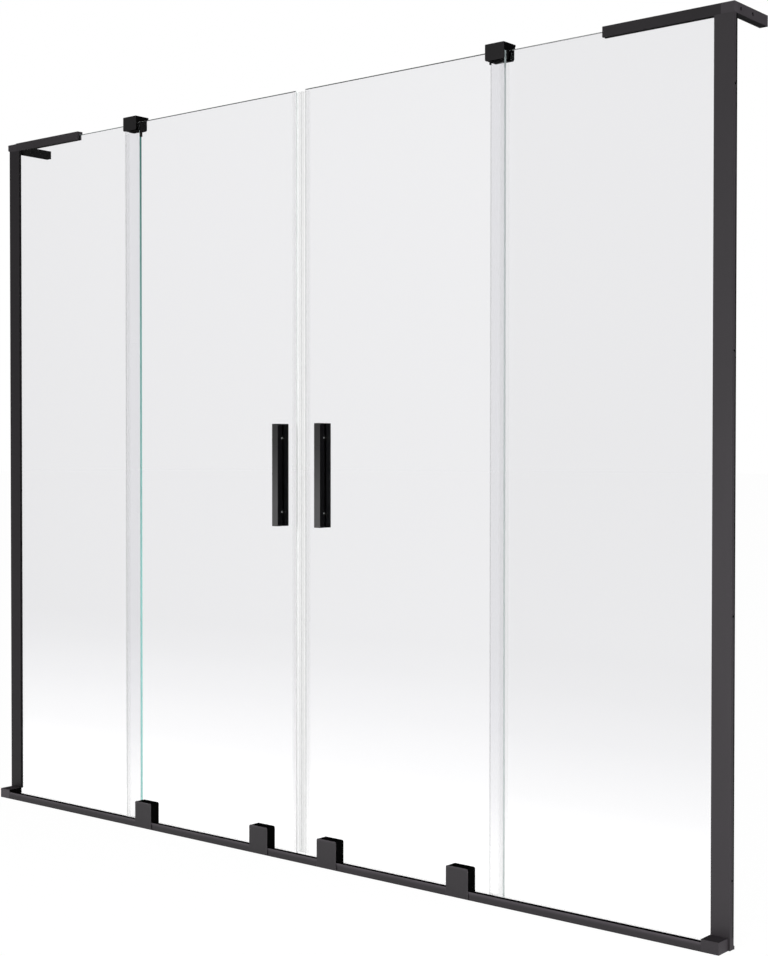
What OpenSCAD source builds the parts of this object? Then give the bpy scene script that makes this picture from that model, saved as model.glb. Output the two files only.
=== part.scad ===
// Sliding screen for a bath standing between two walls.
// Two fixed glass panels and two doors that part from the middle.
// X runs along the bath, +Y points into the bath, Z is up.
// The origin is the middle of the rail's underside, on the bath's rim.

/* [Overall] */
// Width over the outer faces of the end blocks
screen_w = 1800; // [1600:1:2000]
// Height from the bath's rim to the top of the steadying bars
screen_h = 1500; // [1200:1:1800]
// Thickness of every glass pane
glass_t = 6; // [5:0.5:6]
// Distance from the middle to the left door's rear edge
left_door_reach = 500; // [440:1:540]
// Distance from the middle to the right door's rear edge
right_door_reach = 474; // [440:1:540]
// Overlap of the left door on its fixed panel
left_overlap = 34; // [24:1:50]
// Overlap of the right door on its fixed panel
right_overlap = 36; // [24:1:50]
// Gap between the front faces of the fixed panes and the rear faces of the doors
pane_gap = 6.5; // [5.8:0.1:8]

/* [Rail] */
// Depth of the rail
rail_d = 10; // [9:0.5:12]
// Height of the rail
rail_h = 15.3; // [12:0.1:18]
// Wall of the hollow rail
rail_wall = 1.5; // [1:0.1:2.5]
// Length of each end block along the rail
block_w = 31.3; // [26:0.1:40]
// Height of each end block
block_h = 20.4; // [18:0.1:30]
// Height of the fixed panes' lower edge above the bath's rim
pane_foot = 5; // [3:0.5:8]
// Length of the spigot that plugs into the rail
spigot_l = 14; // [8:1:30]
// Depth of the ledge that an end block has behind its post
block_ledge = 5; // [3:0.5:10]
// Width that an end block's slanted inner side loses towards the rear
block_slant = 14.3; // [0:0.1:16]
// Radius of the locating stud on an end block's outer side
stud_r = 2.2; // [1.5:0.1:2.5]
// Height of the locating stud
stud_h = 5.5; // [3:0.5:10]

/* [Posts] */
// Width of a side post
post_w = 34; // [32:0.5:40]
// Depth of a side post
post_d = 15; // [14.5:0.1:20]
// Depth of a side post along the wall
post_side_d = 12.8; // [12:0.1:14]
// Wall of a side post
post_wall = 1.5; // [1:0.1:2]
// Depth of the pocket that holds the pane
pocket_d = 10; // [9:0.5:11]
// How far the pane reaches into the pocket
pane_grip = 8; // [6:0.5:8.5]
// Distance that the pocket's rear wall stays back from its mouth
pocket_cut = 7; // [4:0.5:7.5]
// Thickness of the gasket beside the pane
gasket_t = 1; // [0.6:0.1:1.2]
// Width of the chamfer on a post's outer rear corner
post_chamfer = 3.6; // [2:0.1:4]
// Distance that the left post stands out past its end block
left_step = 0; // [0:0.1:6]
// Distance that the right post stands out past its end block
right_step = 3.6; // [0:0.1:6]
// Width of a wall channel
channel_w = 17.5; // [15:0.5:18]
// Wall of a wall channel
channel_wall = 1.2; // [1:0.1:1.5]
// Height of the lowest wall screw, and distance of the highest one from the post's top
wall_screw_z = 111; // [80:1:200]
// Diameter of the holes for the wall screws
wall_hole_d = 4.2; // [3.6:0.1:5]
// Height of the lowest of the three screws that lock a post
lock_screw_z = 140; // [80:1:200]
// Diameter of the lock screws
lock_screw_d = 3.6; // [3:0.1:4]
// Diameter of the lock screws' heads
lock_head_d = 6.6; // [5.5:0.1:7]
// Thickness of the lock screws' heads
lock_head_t = 1.6; // [1:0.1:2]

/* [Top bars] */
// Distance of a bar's free end from the end block's outer face
bar_l = 235.4; // [180:0.1:320]
// Depth of a bar
bar_d = 14; // [13:0.5:20]
// Height of a bar
bar_h = 18; // [16:0.5:24]
// Depth of the slot that takes the pane's upper edge
slot_d = 11; // [8:0.5:12]
// Distance that the left wall bracket stands out past its end block
left_bracket_step = 8; // [0:0.1:10]
// Distance that the right wall bracket stands out past its end block
right_bracket_step = 3.6; // [0:0.1:10]
// Width of a corner piece inside the end block's outer face
corner_w = 20; // [18:0.1:26]
// Distance that the left corner piece stays below its bar's top
left_corner_drop = 1.2; // [0:0.1:3]
// Thickness of a wall arm
arm_t = 14.3; // [12:0.1:18]
// Length of a wall arm behind its bar
arm_l = 103.6; // [70:0.1:160]
// Distance of the first arm hole from the bar
arm_hole_y = 8.5; // [7:0.1:10]
// Distance between the two holes of an arm
arm_hole_step = 41.3; // [25:0.1:55]
// Diameter of the arm holes
arm_hole_d = 6; // [5:0.1:7]
// Diameter of the seats for the heads of the arms' screws
arm_head_d = 10; // [9:0.1:11]
// Distance of the bars' grub screws from the ends of the bar
bar_screw_in = 30; // [20:1:50]

/* [Guides] */
// Width of a guide block along the rail
guide_w = 40.4; // [30:0.1:60]
// Depth of a guide block
guide_d = 36; // [28:0.5:40]
// Height of a guide block
guide_h = 29.6; // [26:0.1:40]
// Height of the guide block's roof over the fixed pane
guide_roof = 13.1; // [10:0.1:16]
// Front wall of a guide block
guide_front = 2; // [1.5:0.1:2.5]
// Distance a guide block stands past the fixed pane's free edge
guide_lap = 2.8; // [2:0.1:5]
// Length of the clip that hangs below the left guide block
left_clip_drop = 13; // [1:0.5:30]
// Length of the clip that hangs below the right guide block
right_clip_drop = 3; // [1:0.5:30]
// Height of the guide blocks' grub screws above the block's lower edge
guide_screw_rise = 9; // [6:0.5:12]
// Thickness of the slippery lining
liner_t = 0.6; // [0.4:0.1:0.8]
// Diameter of the grub screws in bars and guide blocks
grub_d = 4; // [3:0.5:5]

/* [Doors] */
// Height of the doors' lower edge above the bath's rim
door_foot = 8; // [6:0.5:12]
// Distance that the doors' upper edge stays below the fixed panes'
door_drop = 1.2; // [1:0.1:4]
// Distance from the middle to each door's front edge
seal_w = 12; // [8:0.5:16]
// Length of the seal arms that grip the glass
seal_arm = 10; // [8:0.5:14]
// Wall of the clear seals
seal_t = 1.2; // [0.8:0.1:1.2]
// Width that the left door's rear seal adds
left_lip = 0.6; // [0.5:0.1:8]
// Width that the right door's rear seal adds
right_lip = 7; // [0.5:0.1:8]
// Height of the wiper's grip on the door
seal_foot = 5; // [3:0.5:7]
// Distance that the front seals end below the door's upper edge
seal_head = 3; // [1:0.5:6]
// Wall of the front seals before the magnet
magnet_cover = 1; // [0.5:0.1:2]

/* [Handles] */
// Width of a handle bar
handle_w = 15; // [12:0.5:20]
// Height of a handle bar
handle_h = 200.3; // [160:0.1:300]
// Depth of the front handle bar
handle_front_d = 13.3; // [8:0.1:20]
// Depth of the back handle bar
handle_back_d = 13.2; // [8:0.1:16]
// Distance from the middle to a handle bar's centre line
handle_x = 54.6; // [45:0.1:70]
// Height of a handle bar's lower end
handle_z = 647; // [500:1:900]
// Distance between the two bolts of a handle
handle_bolt_step = 144.5; // [100:0.5:150]
// Diameter of the handle bolts
handle_bolt_d = 6; // [4:0.5:6]
// Thickness of the soft washers beside the glass
washer_t = 1; // [0.5:0.1:2]
// Diameter of the soft washers
washer_d = 14; // [10:0.5:14]

/* [Rollers] */
// Width of a roller housing
housing_w = 47.8; // [42:0.1:60]
// Height of a roller housing's top above the bath's rim
housing_top = 55.5; // [48:0.5:64]
// Thickness of the housing's front plate
housing_front = 2; // [1.5:0.1:4]
// Depth of a roller housing behind the rail
housing_rear = 11.5; // [11:0.1:14]
// Radius of a roller housing's upper corners
housing_r = 3.5; // [1:0.1:6]
// Distance from the middle to the inner roller's axle
inner_roller_x = 88.4; // [80:0.1:120]
// Distance from a door's rear edge to the outer roller's axle
outer_roller_x = 80; // [60:0.1:110]
// Radius of a wheel
wheel_r = 12.8; // [10:0.1:13]
// Width of a wheel
wheel_w = 8; // [6:0.1:8]
// Diameter of the axles
axle_d = 5; // [4:0.5:6]
// Thickness of the pad between housing and glass
pad_t = 3.5; // [2:0.1:5]
// Diameter of the roller bolts
roller_bolt_d = 6; // [4:0.5:8]
// Distance of the roller bolts below the housing's top
roller_bolt_drop = 13; // [11:0.5:14]
// Depth of the roller bolts in their housing
bolt_depth = 7.5; // [5:0.1:9]
// Diameter of the caps behind the glass
cap_d = 18; // [14:0.5:20]

/* [Fits] */
// Space between the housings and the rail
rail_clear = 0.5; // [0.3:0.1:1]
// Space between the wheels and the rail
wheel_clear = 0.2; // [0.1:0.05:0.3]
// Radial space between wheel and axle
axle_clear = 0.05; // [0.02:0.01:0.1]
// Space on each side of a door in its guide
guide_clear = 0.4; // [0.3:0.1:0.6]
// Space around pieces that plug together
plug_clear = 0.1; // [0.05:0.05:0.3]
// Space around a wall channel inside its post
channel_clear = 0.2; // [0.1:0.05:0.3]
// Space above the fixed panes' upper edge
pane_play = 0.5; // [0.2:0.1:1]
// Difference between the holes in the glass and the bolts in them
glass_hole_play = 3; // [2:0.5:4]
// Gap between the two doors' front seals
meeting_gap = 0.3; // [0.1:0.1:1]

/* [Hidden] */
$fn = 48;
small = 0.01;
half_w = screen_w / 2;
// Depth positions, front to back
rail_front = -rail_d / 2;
rail_back = rail_d / 2;
housing_y0 = rail_front - rail_clear - housing_front;
pad_y = rail_back + housing_rear;
door_y = pad_y + pad_t;
door_back = door_y + glass_t;
post_y = door_back;
post_back = post_y + post_d;
side_back = post_y + post_side_d;
hollow_y = post_y + post_wall;
hollow_back = side_back - post_wall;
channel_y = hollow_y + channel_clear;
channel_back = hollow_back - channel_clear;
block_back = post_back + block_ledge;
pane_y = door_back + pane_gap;
pane_back = pane_y + glass_t;
pane_mid = (pane_y + pane_back) / 2;
bar_forward = 0.1;
bar_y = pane_mid - bar_d / 2 - bar_forward;
bar_back = bar_y + bar_d;
guide_y = door_y - guide_clear - liner_t - guide_front;
guide_back = guide_y + guide_d;
// Heights
post_top = screen_h - bar_h;
slot_top = post_top + slot_d;
pane_top = slot_top - pane_play;
door_top = pane_top - door_drop;
guide_top = pane_top + guide_roof;
guide_inner_top = pane_top + pane_play;
guide_foot = guide_top - guide_h;
wheel_z = rail_h + wheel_clear + wheel_r;
door_mid_z = handle_z + handle_h / 2;
// Lengths along the rail, measured from the middle
rail_half = half_w - block_w;
corner_x = half_w - corner_w;
bar_x = half_w - bar_l;
web_t = 2;
roller_bolt_z = housing_top - roller_bolt_drop;
axle_end = pad_y - 6;
guide_shelf = 1.5;
// Share of a handle bar's depth that its bolts reach into
bolt_share = 0.6;

function reach_of(s) = s < 0 ? left_door_reach : right_door_reach;
function overlap_of(s) = s < 0 ? left_overlap : right_overlap;
function lip_of(s) = s < 0 ? left_lip : right_lip;
function post_x1(s) = half_w + (s < 0 ? left_step : right_step);
function post_x(s) = post_x1(s) - post_w;
function wall_x(s) = half_w + (s < 0 ? left_bracket_step : right_bracket_step);
function corner_top(s) = screen_h - (s < 0 ? left_corner_drop : 0);
function pane_edge(s) = reach_of(s) - overlap_of(s);
function pane_outer(s) = post_x(s) + pane_grip;
function guide_x(s) = pane_edge(s) - guide_lap;
function clip_drop(s) = s < 0 ? left_clip_drop : right_clip_drop;
function outer_axle_x(s) = reach_of(s) - outer_roller_x;

// Draws its children on the right for s = 1 and mirrored on the left for s = -1
module side(s) mirror([s < 0 ? 1 : 0, 0, 0]) children();

// Box between two corners
module block(a, b) translate(a) cube(b - a);

// Cylinder along Y from y0 to y1
module rod_y(x, z, y0, y1, d) translate([x, y0, z]) rotate([-90, 0, 0]) cylinder(h = y1 - y0, d = d);

// Cylinder along X from x0 to x1
module rod_x(y, z, x0, x1, d) translate([x0, y, z]) rotate([0, 90, 0]) cylinder(h = x1 - x0, d = d);

// Rectangle in the XZ plane with rounded corners, extruded from y0 to y1
module plate_y(x0, x1, z0, z1, y0, y1, r_low, r_high) {
    translate([0, y1, 0])
        rotate([90, 0, 0])
            linear_extrude(y1 - y0)
                union() {
                    translate([x0, z0 + r_low]) square([x1 - x0, z1 - z0 - r_low - r_high]);
                    translate([x0 + r_low, z0]) square([x1 - x0 - 2 * r_low, r_low + small]);
                    translate([x0 + r_high, z1 - r_high - small])
                        square([x1 - x0 - 2 * r_high, r_high + small]);
                    for (x = [x0 + r_high, x1 - r_high]) translate([x, z1 - r_high]) circle(r_high);
                    for (x = [x0 + r_low, x1 - r_low]) translate([x, z0 + r_low]) circle(r_low);
                }
}

// Hollow rail that the rollers run on
module bottom_rail() {
    color("dimgray") difference() {
        block([-rail_half, rail_front, 0], [rail_half, rail_back, rail_h]);
        block([-rail_half - 1, rail_front + rail_wall, rail_wall],
              [rail_half + 1, rail_back - rail_wall, rail_h - rail_wall]);
    }
}

// Moulded block at the rail's end: carries the post, holds the pane's foot, plugs into the rail
module end_block(s) {
    stud_out = 1.4;
    stud_y = side_back + stud_r + plug_clear;
    slant_y = post_y + 2;
    color("dimgray") side(s) difference() {
        union() {
            linear_extrude(block_h)
                polygon([[rail_half, rail_front], [half_w, rail_front], [half_w, block_back],
                         [rail_half + block_slant, block_back], [rail_half, slant_y]]);
            block([rail_half - spigot_l, rail_front + rail_wall + plug_clear, rail_wall + plug_clear],
                  [rail_half + small, rail_back - rail_wall - plug_clear,
                   rail_h - rail_wall - plug_clear]);
            translate([half_w + stud_out, stud_y, 0]) cylinder(h = stud_h, r = stud_r);
        }
        block([rail_half - 1, pane_y, pane_foot], [pane_outer(s), pane_back, block_h + 1]);
    }
}

// Channel screwed to the wall, which the post slides over
module wall_channel(s) {
    x1 = post_x1(s);
    screw_gaps = 3;
    screw_step = (post_top - 2 * wall_screw_z) / screw_gaps;
    color("black") side(s) difference() {
        block([x1 - channel_w, channel_y, block_h], [x1, channel_back, post_top]);
        block([x1 - channel_w - 1, channel_y + channel_wall, block_h - 1],
              [x1 - web_t, channel_back - channel_wall, post_top + 1]);
        for (i = [0 : screw_gaps])
            rod_x((channel_y + channel_back) / 2, wall_screw_z + i * screw_step,
                  x1 - web_t - 1, x1 + 1, wall_hole_d);
        for (z = lock_screw_heights())
            rod_y(lock_screw_x(s), z, channel_back - channel_wall - 1, channel_back + 1, lock_screw_d);
    }
}

function lock_screw_x(s) = post_x1(s) - channel_w / 2;
function lock_screw_heights() =
    [lock_screw_z, post_top / 2, post_top - lock_screw_z];

// Post with a pocket for the pane on one side and a hollow for the wall channel on the other
module side_post(s) {
    x0 = post_x(s);
    x1 = post_x1(s);
    skirt_z = 0.5;
    skirt_x = half_w + plug_clear / 2;
    least_skirt = 0.5;
    color("dimgray") side(s) difference() {
        union() {
            translate([0, 0, block_h]) linear_extrude(post_top - block_h)
                polygon([[x0, post_y], [x1, post_y], [x1, side_back], [x1 - post_chamfer, post_back],
                         [x0, post_back]]);
            if (x1 > half_w + least_skirt)
                block([skirt_x, post_y, skirt_z], [x1, side_back, block_h + small]);
        }
        block([x0 - 1, pane_y - gasket_t, block_h - 1],
              [x0 + pocket_d, pane_back + gasket_t, post_top + 1]);
        block([x0 - 1, pane_back, block_h - 1], [x0 + pocket_cut, post_back + 1, post_top + 1]);
        block([x0 + pocket_d + web_t, hollow_y, block_h], [x1 + 1, hollow_back, post_top + 1]);
        for (z = lock_screw_heights()) {
            rod_y(lock_screw_x(s), z, hollow_back - 1, post_back + 1, lock_screw_d);
            rod_y(lock_screw_x(s), z, post_back - lock_head_t, post_back + 1, lock_head_d);
        }
    }
}

// Screws that lock the posts on the wall channels, from the bath side
module post_screws() {
    color("silver") for (s = [-1, 1]) for (z = lock_screw_heights()) side(s) {
        rod_y(lock_screw_x(s), z, channel_back - channel_wall - 1, post_back - small, lock_screw_d);
        rod_y(lock_screw_x(s), z, post_back - lock_head_t, post_back, lock_head_d);
    }
}

// Gasket between the pane and the post's pocket
module glass_gasket(s) {
    x0 = post_x(s);
    color("black") side(s) difference() {
        block([x0, pane_y - gasket_t, block_h],
              [x0 + pocket_d, pane_back + gasket_t, post_top]);
        block([x0 - 1, pane_y, block_h - 1], [pane_outer(s), pane_back, post_top + 1]);
        block([x0 - 1, pane_back - small, block_h - 1],
              [x0 + pocket_cut, pane_back + gasket_t + 1, post_top + 1]);
    }
}

// Fixed pane
module fixed_glass(s) {
    color("lightcyan", 0.3) side(s)
        block([pane_edge(s), pane_y, pane_foot], [pane_outer(s), pane_back, pane_top]);
}

// Clear profile that seats the fixed pane's lower edge on the bath's rim
module fixed_seal(s) {
    lip_h = 4;
    color("white", 0.5) side(s) difference() {
        block([pane_edge(s), pane_y - seal_t, 0], [rail_half, pane_back + seal_t, pane_foot + lip_h]);
        block([pane_edge(s) - 1, pane_y, pane_foot], [rail_half + 1, pane_back, pane_foot + lip_h + 1]);
    }
}

// Bar that caps the fixed pane and holds it upright
module top_bar(s) {
    color("dimgray") side(s) difference() {
        block([bar_x, bar_y, post_top], [corner_x, bar_back, screen_h]);
        block([bar_x - 1, pane_y, post_top - 1], [corner_x + 1, pane_back, slot_top]);
        tongue(s, corner_x - spigot_l, corner_x + 1, 0);
        for (x = bar_screw_xs())
            rod_y(x, bar_screw_z(), pane_back - small, bar_back + 1, grub_d);
    }
}

// Flat tongue that joins a corner piece to its bar
module tongue(s, x0, x1, inset) {
    edge = 1.5 + inset;
    side_t = 2 + inset;
    block([x0, bar_y + side_t, slot_top + edge], [x1, bar_back - side_t, corner_top(s) - edge]);
}

function bar_screw_z() = post_top + slot_d / 2;
function bar_screw_xs() = [bar_x + bar_screw_in, corner_x - bar_screw_in];

// Corner piece that joins bar and wall arm over the post
module corner_piece(s) {
    top = corner_top(s);
    x1 = wall_x(s);
    chamfer = max(1, x1 - post_x1(s));
    color("black") side(s) difference() {
        union() {
            translate([0, bar_back, 0]) rotate([90, 0, 0]) linear_extrude(bar_d)
                polygon([[corner_x, post_top], [x1 - chamfer, post_top],
                         [x1, post_top + chamfer / 2], [x1, top], [corner_x, top]]);
            tongue(s, corner_x - spigot_l + plug_clear, corner_x + small, plug_clear);
            arm_core(s, bar_back - small, bar_back + spigot_l - plug_clear, plug_clear);
        }
        rod_x(bar_back + arm_hole_y, arm_hole_z(), x1 - arm_t, x1 + 1, arm_hole_d);
    }
}

// Core that joins a wall arm to its corner piece
module arm_core(s, y0, y1, inset) {
    edge = 3.5;
    side_t = 3;
    block([wall_x(s) - arm_t + side_t + inset, y0, post_top + edge + inset],
          [wall_x(s) - side_t - inset, y1, corner_top(s) - edge - inset]);
}

// Arm that runs along the wall from the corner piece
module wall_arm(s) {
    x1 = wall_x(s);
    seat_t = 2.6;
    color("dimgray") side(s) difference() {
        block([x1 - arm_t, bar_back, post_top], [x1, bar_back + arm_l, screen_h]);
        arm_core(s, bar_back - 1, bar_back + spigot_l, 0);
        for (y = arm_hole_ys()) {
            rod_x(y, arm_hole_z(), x1 - arm_t - 1, x1 + 1, arm_hole_d);
            rod_x(y, arm_hole_z(), x1 - arm_t - 1, x1 - arm_t + seat_t, arm_head_d);
        }
    }
}

function arm_hole_z() = post_top + bar_h / 2;
function arm_hole_ys() = [bar_back + arm_hole_y, bar_back + arm_hole_y + arm_hole_step];

// Grub screws that clamp the bars on the fixed panes
module bar_screws() {
    color("silver") for (s = [-1, 1]) for (x = bar_screw_xs()) side(s)
        rod_y(x, bar_screw_z(), pane_back, bar_back, grub_d);
}

// Block on the fixed pane's upper corner that keeps the door upright
module guide_block(s) {
    x0 = guide_x(s);
    x1 = x0 + guide_w;
    back = guide_back - guide_shelf;
    shelf_z = guide_top - 4;
    low_r = 3.5;
    top_r = 1;
    color("black") side(s) difference() {
        union() {
            plate_y(x0, x1, guide_foot, guide_top, guide_y, back, low_r, top_r);
            plate_y(x0, x1, shelf_z, guide_top, back - small, guide_back, top_r, top_r);
        }
        block([x0 - 1, guide_y + guide_front, guide_foot - 1], [x1 + 1, pane_back, guide_inner_top]);
        for (x = guide_screw_xs(s)) rod_y(x, guide_screw_z(), pane_back - small, back + 1, grub_d);
    }
}

function guide_screw_z() = guide_foot + guide_screw_rise;
function guide_screw_xs(s) = [for (share = [0.3, 0.75]) guide_x(s) + guide_w * share];

// Slippery lining on both sides of the door's upper edge
module guide_liners() {
    roof_t = 0.9;
    inset = 1;
    color("dimgray") for (s = [-1, 1]) side(s) difference() {
        block([guide_x(s) + inset, guide_y + guide_front, guide_foot + inset],
              [guide_x(s) + guide_w - inset, pane_y, guide_inner_top]);
        block([guide_x(s), door_y - guide_clear, guide_foot],
              [guide_x(s) + guide_w, door_back + guide_clear, guide_inner_top - roof_t]);
    }
}

// Clip on the fixed pane's free edge, below and inside the guide block
module guide_clips() {
    set_back = 0.3;
    color("black") for (s = [-1, 1]) side(s)
        block([guide_x(s), pane_y + set_back, guide_foot - clip_drop(s)],
              [pane_edge(s), pane_back, pane_top]);
}

// Grub screws that clamp the guide blocks on the fixed panes
module guide_screws() {
    color("silver") for (s = [-1, 1]) for (x = guide_screw_xs(s)) side(s)
        rod_y(x, guide_screw_z(), pane_back, guide_back - guide_shelf, grub_d);
}

// Door pane with the holes for its handle and its rollers
module door_glass(s) {
    color("lightcyan", 0.3) side(s) difference() {
        block([seal_w, door_y, door_foot], [reach_of(s), door_back, door_top]);
        for (z = handle_bolt_zs())
            rod_y(handle_x, z, door_y - 1, door_back + 1, handle_bolt_d + glass_hole_play);
        for (x = [inner_roller_x, outer_axle_x(s)])
            rod_y(x, roller_bolt_z, door_y - 1, door_back + 1, roller_bolt_d + glass_hole_play);
    }
}

function handle_bolt_zs() = [door_mid_z - handle_bolt_step / 2, door_mid_z + handle_bolt_step / 2];

// One bar of a handle between two depths, with blind holes for the bolts
module handle_bar(s, y0, y1, hole_y0, hole_y1) {
    corner_r = 1;
    color("black") side(s) difference() {
        plate_y(handle_x - handle_w / 2, handle_x + handle_w / 2, handle_z, handle_z + handle_h,
                y0, y1, corner_r, corner_r);
        for (z = handle_bolt_zs()) rod_y(handle_x, z, hole_y0, hole_y1, handle_bolt_d);
    }
}

// Handle bar on the room side
module handle_front(s) {
    y1 = door_y - washer_t;
    handle_bar(s, y1 - handle_front_d, y1, y1 - handle_front_d * bolt_share, y1 + 1);
}

// Handle bar on the bath side
module handle_back(s) {
    y0 = door_back + washer_t;
    handle_bar(s, y0, y0 + handle_back_d, y0 - 1, y0 + handle_back_d * bolt_share);
}

// Bolts that pass through the glass and hold both bars
module handle_bolts(s) {
    color("silver") side(s) for (z = handle_bolt_zs())
        rod_y(handle_x, z, door_y - washer_t - handle_front_d * bolt_share,
              door_back + washer_t + handle_back_d * bolt_share, handle_bolt_d);
}

// Soft washers between the bars and the glass
module handle_washers(s) {
    color("white") side(s) for (z = handle_bolt_zs())
        for (y = [door_y - washer_t, door_back])
            difference() {
                rod_y(handle_x, z, y, y + washer_t, washer_d);
                rod_y(handle_x, z, y - 1, y + washer_t + 1, handle_bolt_d);
            }
}

// Housing that carries a wheel over the rail
module roller_housing(s, x) {
    x0 = x - housing_w / 2;
    x1 = x + housing_w / 2;
    foot = 1;
    skirt = 4;
    low_r = 0.5;
    room = 1.6;
    side_room = 0.5;
    mouth_y = rail_front - rail_clear;
    color("black") side(s) difference() {
        union() {
            plate_y(x0, x1, foot, housing_top, housing_y0, mouth_y + small, low_r, housing_r);
            plate_y(x0, x1, skirt, housing_top, mouth_y, pad_y, low_r, housing_r);
        }
        block([x0 - 1, mouth_y, 0], [x1 + 1, rail_back + rail_clear, rail_h + 1]);
        block([x - wheel_r - room, -wheel_w / 2 - side_room, 0],
              [x + wheel_r + room, wheel_w / 2 + side_room, wheel_z + wheel_r + room]);
        rod_y(x, wheel_z, mouth_y, axle_end, axle_d);
        rod_y(x, roller_bolt_z, pad_y - bolt_depth, pad_y + 1, roller_bolt_d);
    }
}

// Axles pressed into the two housings of a door
module axles(s) {
    color("silver") side(s) for (x = [inner_roller_x, outer_axle_x(s)])
        rod_y(x, wheel_z, rail_front - rail_clear, axle_end, axle_d);
}

// Bolts with caps that hold the housings on the glass
module roller_bolts(s) {
    cap_t = 4;
    color("black") side(s) for (x = [inner_roller_x, outer_axle_x(s)]) {
        rod_y(x, roller_bolt_z, pad_y - bolt_depth, door_back + small, roller_bolt_d);
        rod_y(x, roller_bolt_z, door_back, door_back + cap_t, cap_d);
    }
}

// Soft pads between the housings and the glass
module roller_pads(s) {
    edge = 4;
    color("black") side(s) for (x = [inner_roller_x, outer_axle_x(s)]) difference() {
        block([x - housing_w / 2 + edge, pad_y, door_foot + 2 * edge],
              [x + housing_w / 2 - edge, door_y, housing_top - edge]);
        rod_y(x, roller_bolt_z, pad_y - 1, door_y + 1, roller_bolt_d);
    }
}

// Clear seal on a door's front edge, hollow for its magnet
module meeting_seal(s) {
    z0 = door_foot + seal_foot;
    z1 = door_top - seal_head;
    color("white", 0.5) side(s) difference() {
        union() {
            block([seal_w - seal_t, door_y - seal_t, z0], [seal_w + seal_arm, door_back + seal_t, z1]);
            block([meeting_gap / 2, door_y, z0], [seal_w, door_back, z1]);
        }
        block([seal_w, door_y, z0 - 1], [seal_w + seal_arm + 1, door_back, z1 + 1]);
        block([magnet_x0(), door_y + seal_t, z0 - 1], [magnet_x1(), door_back - seal_t, z1 + 1]);
    }
}

function magnet_x0() = meeting_gap / 2 + magnet_cover;
function magnet_x1() = seal_w / 2;

// Magnet strip inside a front seal
module magnet(s) {
    color("dimgray") side(s)
        block([magnet_x0(), door_y + seal_t, door_foot + seal_foot],
              [magnet_x1(), door_back - seal_t, door_top - seal_head]);
}

// Clear seal on a door's rear edge
module edge_seal(s) {
    x1 = reach_of(s);
    web = 0.5;
    guide_gap = 6;
    z0 = door_foot + seal_foot;
    z1 = guide_foot - guide_gap;
    color("white", 0.5) side(s) difference() {
        union() {
            block([x1 - seal_arm, door_y - seal_t, z0], [x1 + web, door_back + seal_t, z1]);
            block([x1, door_y, z0], [x1 + lip_of(s), door_back, z1]);
        }
        block([x1 - seal_arm - 1, door_y, z0 - 1], [x1, door_back, z1 + 1]);
    }
}

// Clear wiper under a door
module sweep_seal(s) {
    lip_z = 2;
    lip_t = 1.5;
    end_gap = 2;
    x0 = seal_w + seal_arm + end_gap;
    x1 = reach_of(s) - seal_arm - end_gap;
    color("white", 0.5) side(s) difference() {
        union() {
            block([x0, door_y - seal_t, door_foot - seal_t], [x1, door_back + seal_t, door_foot + seal_foot]);
            block([x0, door_y + glass_t / 2 - lip_t / 2, lip_z],
                  [x1, door_y + glass_t / 2 + lip_t / 2, door_foot - seal_t + small]);
        }
        block([x0 - 1, door_y, door_foot], [x1 + 1, door_back, door_foot + seal_foot + 1]);
    }
}

// Wheel with a recess in each face
module wheel(s, x) {
    recess = 1.5;
    ring_t = 2.5;
    hub_r = axle_d / 2 + ring_t;
    rim_r = wheel_r - ring_t;
    color("white") side(s) translate([x, 0, wheel_z]) rotate([90, 0, 0]) rotate_extrude()
        polygon([[axle_d / 2 + axle_clear, -wheel_w / 2], [hub_r, -wheel_w / 2],
                 [hub_r, -wheel_w / 2 + recess], [rim_r, -wheel_w / 2 + recess],
                 [rim_r, -wheel_w / 2], [wheel_r, -wheel_w / 2], [wheel_r, wheel_w / 2],
                 [rim_r, wheel_w / 2], [rim_r, wheel_w / 2 - recess],
                 [hub_r, wheel_w / 2 - recess], [hub_r, wheel_w / 2],
                 [axle_d / 2 + axle_clear, wheel_w / 2]]);
}

bottom_rail();
end_block(-1);  // end_block_left
end_block(1);  // end_block_right
wall_channel(-1);  // wall_channel_left
wall_channel(1);  // wall_channel_right
side_post(-1);  // side_post_left
side_post(1);  // side_post_right
post_screws();
glass_gasket(-1);  // glass_gasket_left
glass_gasket(1);  // glass_gasket_right
fixed_glass(-1);  // fixed_glass_left
fixed_glass(1);  // fixed_glass_right
fixed_seal(-1);  // fixed_seal_left
fixed_seal(1);  // fixed_seal_right
top_bar(-1);  // top_bar_left
top_bar(1);  // top_bar_right
corner_piece(-1);  // corner_piece_left
corner_piece(1);  // corner_piece_right
wall_arm(-1);  // wall_arm_left
wall_arm(1);  // wall_arm_right
bar_screws();
guide_block(-1);  // guide_block_left
guide_block(1);  // guide_block_right
guide_liners();
guide_clips();
guide_screws();
door_glass(-1);  // door_glass_left
door_glass(1);  // door_glass_right
handle_front(-1);  // handle_front_left
handle_front(1);  // handle_front_right
handle_back(-1);  // handle_back_left
handle_back(1);  // handle_back_right
handle_bolts(-1);  // handle_bolts_left
handle_bolts(1);  // handle_bolts_right
handle_washers(-1);  // handle_washers_left
handle_washers(1);  // handle_washers_right
roller_housing(-1, outer_axle_x(-1));  // roller_housing_left_outer
roller_housing(-1, inner_roller_x);  // roller_housing_left_inner
roller_housing(1, inner_roller_x);  // roller_housing_right_inner
roller_housing(1, outer_axle_x(1));  // roller_housing_right_outer
axles(-1);  // axles_left
axles(1);  // axles_right
roller_bolts(-1);  // roller_bolts_left
roller_bolts(1);  // roller_bolts_right
roller_pads(-1);  // roller_pads_left
roller_pads(1);  // roller_pads_right
meeting_seal(-1);  // meeting_seal_left
meeting_seal(1);  // meeting_seal_right
magnet(-1);  // magnet_left
magnet(1);  // magnet_right
edge_seal(-1);  // edge_seal_left
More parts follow.
